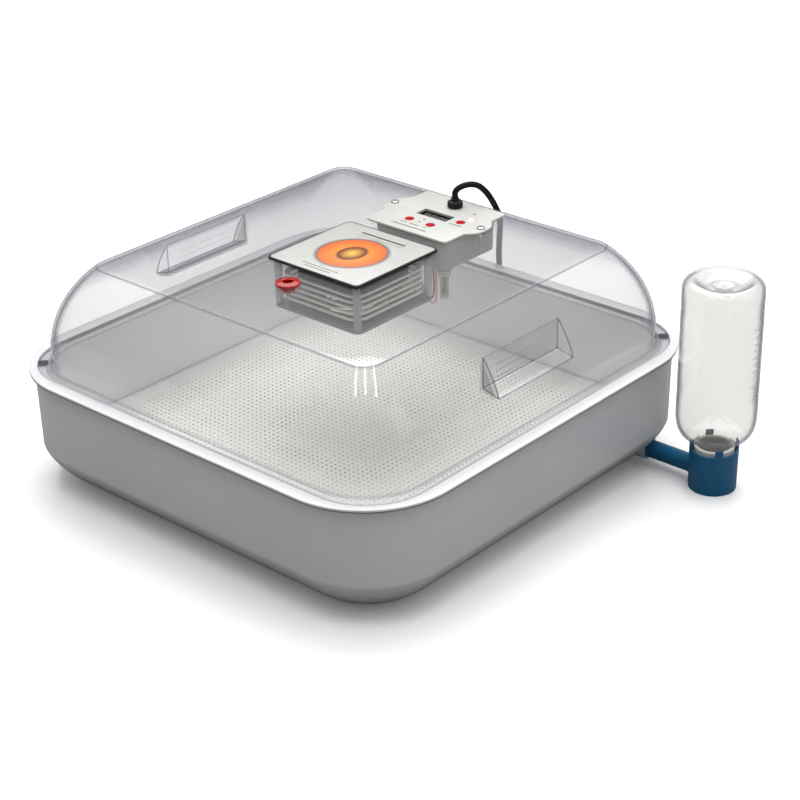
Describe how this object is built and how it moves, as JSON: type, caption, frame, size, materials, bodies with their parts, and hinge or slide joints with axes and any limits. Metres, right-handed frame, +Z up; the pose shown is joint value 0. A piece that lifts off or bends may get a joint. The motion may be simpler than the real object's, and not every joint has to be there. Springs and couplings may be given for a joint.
{
  "type": "egg incubator",
  "caption": "Tabletop egg incubator: white square tub, clear domed lid with fan heater and controller, side cup with an inverted water bottle.",
  "frame": {"origin": "on the surface it stands on, under the middle of the square tub", "axes": "+X towards the water cup, -Y towards the user, +Z up"},
  "size_m": [0.6138, 0.6446, 0.2588],
  "materials": {
    "tub_white": "glossy moulded ABS",
    "seal_black": "matt",
    "liner_white": "formed polystyrene sheet, satin",
    "floor_cream": "fine moulded net",
    "dome_clear": "clear polycarbonate, polished",
    "grommet_black": "matt",
    "plug_red": "glossy",
    "cover_black": "satin",
    "label_white": "printed sheet",
    "post_grey": "translucent",
    "tray_grey": "translucent, satin",
    "louvre_cream": "satin",
    "screw_steel": "zinc plated",
    "fan_black": "satin",
    "rotor_black": "satin",
    "heater_steel": "heat stained",
    "mica_tan": "mica board",
    "lead_red": "silicone",
    "lead_pink": "silicone",
    "face_grey": "satin",
    "box_grey": "satin",
    "board_green": "solder mask",
    "display_black": "glossy",
    "button_red": "glossy",
    "lens_white": "frosted",
    "ear_screw_steel": "bright plated",
    "gland_black": "satin",
    "collar_cream": "satin",
    "guard_clear": "clear",
    "probe_dark": "satin",
    "cup_blue": "satin moulded",
    "bottle_clear": "clear blown PET",
    "cap_white": "satin",
    "cord_black": "PVC sheath",
    "coil_black": "PVC sheath",
    "tie_black": "woven strap",
    "plug_black": "moulded PVC",
    "pin_brass": "bright"
  },
  "bodies": {
    "base": {"base_tub": "tub_white", "pipe_seal": "seal_black", "inner_liner": "liner_white", "cord_coil": "coil_black", "cord_tie": "tie_black", "plug_body": "plug_black", "plug_blade_1": "pin_brass", "plug_blade_2": "pin_brass", "ground_pin": "pin_brass"},
    "lid": {"bottom_tray": "tray_grey", "circuit_board": "board_green", "control_box": "box_grey", "control_plate": "face_grey", "cord_gland": "gland_black", "corner_post_1": "post_grey", "corner_post_2": "post_grey", "corner_post_3": "post_grey", "corner_post_4": "post_grey", "cover_label": "label_white", "display_module": "display_black", "dome_lid": "dome_clear", "ear_nut_left": "ear_screw_steel", "ear_nut_right": "ear_screw_steel", "ear_screw_left": "ear_screw_steel", "ear_screw_right": "ear_screw_steel", "fan_cover": "cover_black", "fan_frame": "fan_black", "heater_bracket": "mica_tan", "heater_lead_1": "lead_red", "heater_lead_2": "lead_pink", "heater_ring": "heater_steel", "indicator_lens": "lens_white", "louvre_ring_1": "louvre_cream", "louvre_ring_2": "louvre_cream", "louvre_ring_3": "louvre_cream", "louvre_ring_4": "louvre_cream", "louvre_ring_5": "louvre_cream", "power_cord": "cord_black", "sensor_collar": "collar_cream", "sensor_guard": "guard_clear", "sensor_probe": "probe_dark", "slot_grommet_left": "grommet_black", "slot_grommet_right": "grommet_black", "tray_screw_1": "screw_steel", "tray_screw_2": "screw_steel", "tray_screw_3": "screw_steel", "tray_screw_4": "screw_steel"},
    "mesh_floor": {"mesh_floor": "floor_cream"},
    "cup": {"water_cup": "cup_blue"},
    "bottle": {"bottle": "bottle_clear", "bottle_cap": "cap_white"},
    "fan_rotor": {"fan_rotor": "rotor_black"},
    "vent_plug": {"vent_plug": "plug_red"},
    "button_minus": {"button_minus": "button_red"},
    "button_plus": {"button_plus": "button_red"},
    "button_power": {"button_power": "button_red"}
  },
  "joints": [
    {"name": "lid_lift", "type": "slide", "parent": "base", "child": "lid", "axis": [0, 0, 1], "range_m": [0, 0.2]},
    {"name": "floor_lift", "type": "slide", "parent": "base", "child": "mesh_floor", "axis": [0, 0, 1], "range_m": [0, 0.08]},
    {"name": "cup_pull", "type": "slide", "parent": "base", "child": "cup", "axis": [1, 0, 0], "range_m": [0, 0.03]},
    {"name": "bottle_lift", "type": "slide", "parent": "cup", "child": "bottle", "axis": [0, 0, 1], "range_m": [0, 0.06]},
    {"name": "vent_plug_pull", "type": "slide", "parent": "lid", "child": "vent_plug", "axis": [0, 0, 1], "range_m": [0, 0.03]},
    {"name": "fan_spin", "type": "hinge", "parent": "lid", "child": "fan_rotor", "pos_m": [0, 0, 0.2135], "axis": [0, 0, 1], "continuous": true},
    {"name": "button_minus_press", "type": "slide", "parent": "lid", "child": "button_minus", "axis": [0, 0, -1], "range_m": [0, 0.0006], "stiffness_N_per_m": 400, "springref_m": -0.0005},
    {"name": "button_plus_press", "type": "slide", "parent": "lid", "child": "button_plus", "axis": [0, 0, -1], "range_m": [0, 0.0006], "stiffness_N_per_m": 400, "springref_m": -0.0005},
    {"name": "button_power_press", "type": "slide", "parent": "lid", "child": "button_power", "axis": [0, 0, -1], "range_m": [0, 0.0006], "stiffness_N_per_m": 400, "springref_m": -0.0005}
  ]
}
